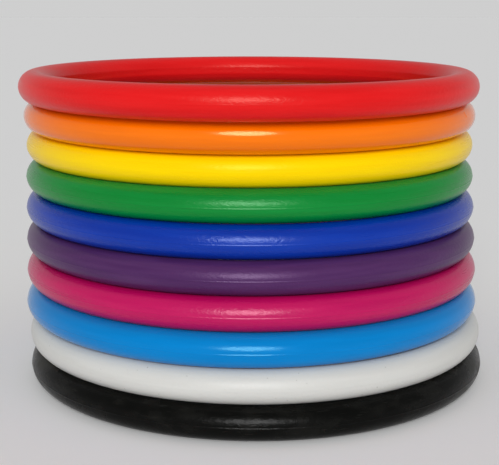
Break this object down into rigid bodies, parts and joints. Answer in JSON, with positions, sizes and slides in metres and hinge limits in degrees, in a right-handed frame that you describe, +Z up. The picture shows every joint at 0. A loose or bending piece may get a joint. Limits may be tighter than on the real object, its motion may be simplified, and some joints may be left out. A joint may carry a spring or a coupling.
{
  "type": "leg band",
  "caption": "Stack of loose closed leg rings in different colours, each a plain ring of round moulded plastic bar that slips over a leg and lifts off the stack.",
  "frame": {"origin": "on the surface the stack stands on, under the middle of the stack's box", "axes": "+Z up through the stack, +X to the right and +Y to the back as the stack is seen from the front"},
  "size_m": [0.0768, 0.0833, 0.0508],
  "materials": {
    "black_plastic": "dull moulded plastic with pale scuffs",
    "white_plastic": "glossy moulded plastic with faint flow marks",
    "sky_plastic": "glossy moulded plastic with faint flow marks",
    "pink_plastic": "glossy moulded plastic with faint flow marks",
    "purple_plastic": "glossy moulded plastic with faint flow marks",
    "blue_plastic": "glossy moulded plastic with faint flow marks",
    "green_plastic": "glossy moulded plastic with faint flow marks",
    "yellow_plastic": "glossy moulded plastic with faint flow marks",
    "orange_plastic": "glossy moulded plastic with faint flow marks",
    "red_plastic": "glossy moulded plastic with faint flow marks"
  },
  "bodies": {
    "black": {"black_ring": "black_plastic"},
    "white": {"white_ring": "white_plastic"},
    "sky": {"sky_ring": "sky_plastic"},
    "pink": {"pink_ring": "pink_plastic"},
    "purple": {"purple_ring": "purple_plastic"},
    "blue": {"blue_ring": "blue_plastic"},
    "green": {"green_ring": "green_plastic"},
    "yellow": {"yellow_ring": "yellow_plastic"},
    "orange": {"orange_ring": "orange_plastic"},
    "red": {"red_ring": "red_plastic"}
  },
  "joints": [
    {"name": "white_lift", "type": "slide", "parent": "black", "child": "white", "axis": [0, 0, 1], "range_m": [0, 0.03]},
    {"name": "sky_lift", "type": "slide", "parent": "white", "child": "sky", "axis": [0, 0, 1], "range_m": [0, 0.03]},
    {"name": "pink_lift", "type": "slide", "parent": "sky", "child": "pink", "axis": [0, 0, 1], "range_m": [0, 0.03]},
    {"name": "purple_lift", "type": "slide", "parent": "pink", "child": "purple", "axis": [0, 0, 1], "range_m": [0, 0.03]},
    {"name": "blue_lift", "type": "slide", "parent": "purple", "child": "blue", "axis": [0, 0, 1], "range_m": [0, 0.03]},
    {"name": "green_lift", "type": "slide", "parent": "blue", "child": "green", "axis": [0, 0, 1], "range_m": [0, 0.03]},
    {"name": "yellow_lift", "type": "slide", "parent": "green", "child": "yellow", "axis": [0, 0, 1], "range_m": [0, 0.03]},
    {"name": "orange_lift", "type": "slide", "parent": "yellow", "child": "orange", "axis": [0, 0, 1], "range_m": [0, 0.03]},
    {"name": "red_lift", "type": "slide", "parent": "orange", "child": "red", "axis": [0, 0, 1], "range_m": [0, 0.03]}
  ]
}
